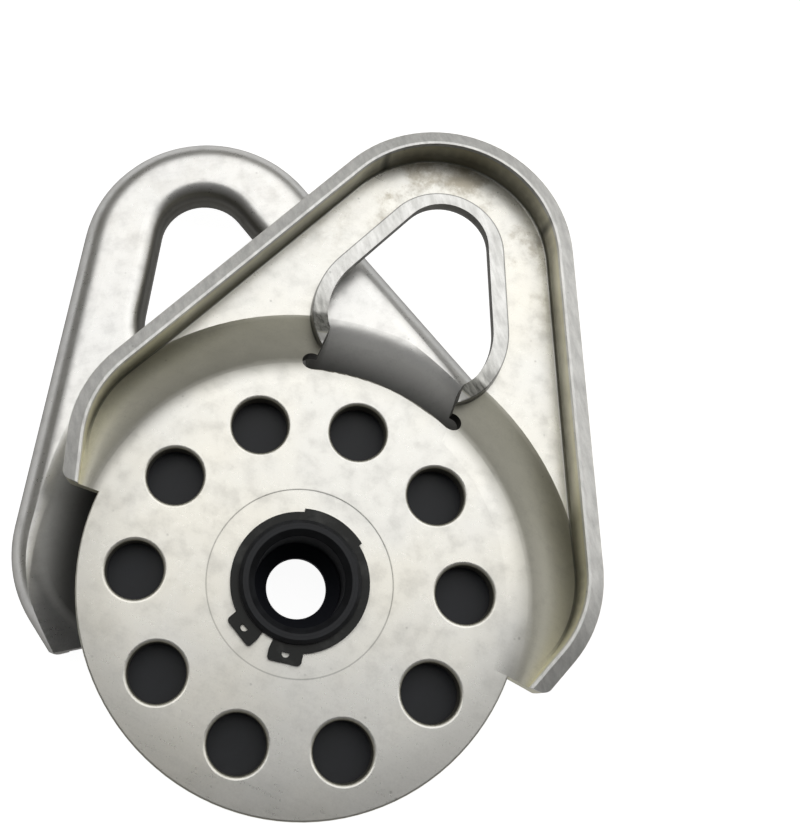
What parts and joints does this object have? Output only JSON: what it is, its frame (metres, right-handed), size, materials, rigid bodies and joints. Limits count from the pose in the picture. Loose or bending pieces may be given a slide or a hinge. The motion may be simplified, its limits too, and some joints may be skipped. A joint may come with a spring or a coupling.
{
  "type": "snatch block",
  "caption": "Swing-sided rope pulley block: pressed, plated side plates with flanged shackle eyes turn about a hollow axle that carries a grooved nylon sheave.",
  "frame": {"origin": "on the axle's centre line, halfway between the two side plates", "axes": "+Z along the axle towards the front plate; +Y from the axle to the eye of the rear plate"},
  "size_m": [0.2122, 0.2387, 0.0472],
  "materials": {
    "plated_steel": "satin zinc plating, warm white, faintly mottled",
    "nylon": "moulded black nylon, satin",
    "bronze": "turned bearing bronze",
    "black_steel": "blackened turned steel, lightly oiled",
    "spring_steel": "phosphated spring steel",
    "washer_plastic": "smooth bearing plastic"
  },
  "bodies": {
    "rear_plate": {"side_plate_rear": "plated_steel"},
    "axle": {"axle_pin": "black_steel", "circlip_front": "spring_steel", "circlip_rear": "spring_steel", "thrust_washer_front": "washer_plastic", "thrust_washer_rear": "washer_plastic"},
    "front_plate": {"side_plate_front": "plated_steel"},
    "wheel": {"sheave": "nylon", "sheave_bush": "bronze"}
  },
  "joints": [
    {"name": "axle_turn", "type": "hinge", "parent": "rear_plate", "child": "axle", "pos_m": [0, 0, 0], "axis": [0, 0, 1], "continuous": true},
    {"name": "front_plate_swing", "type": "hinge", "parent": "rear_plate", "child": "front_plate", "pos_m": [0, 0, 0], "axis": [0, 0, 1], "continuous": true},
    {"name": "sheave_spin", "type": "hinge", "parent": "rear_plate", "child": "wheel", "pos_m": [0, 0, 0], "axis": [0, 0, 1], "continuous": true}
  ]
}
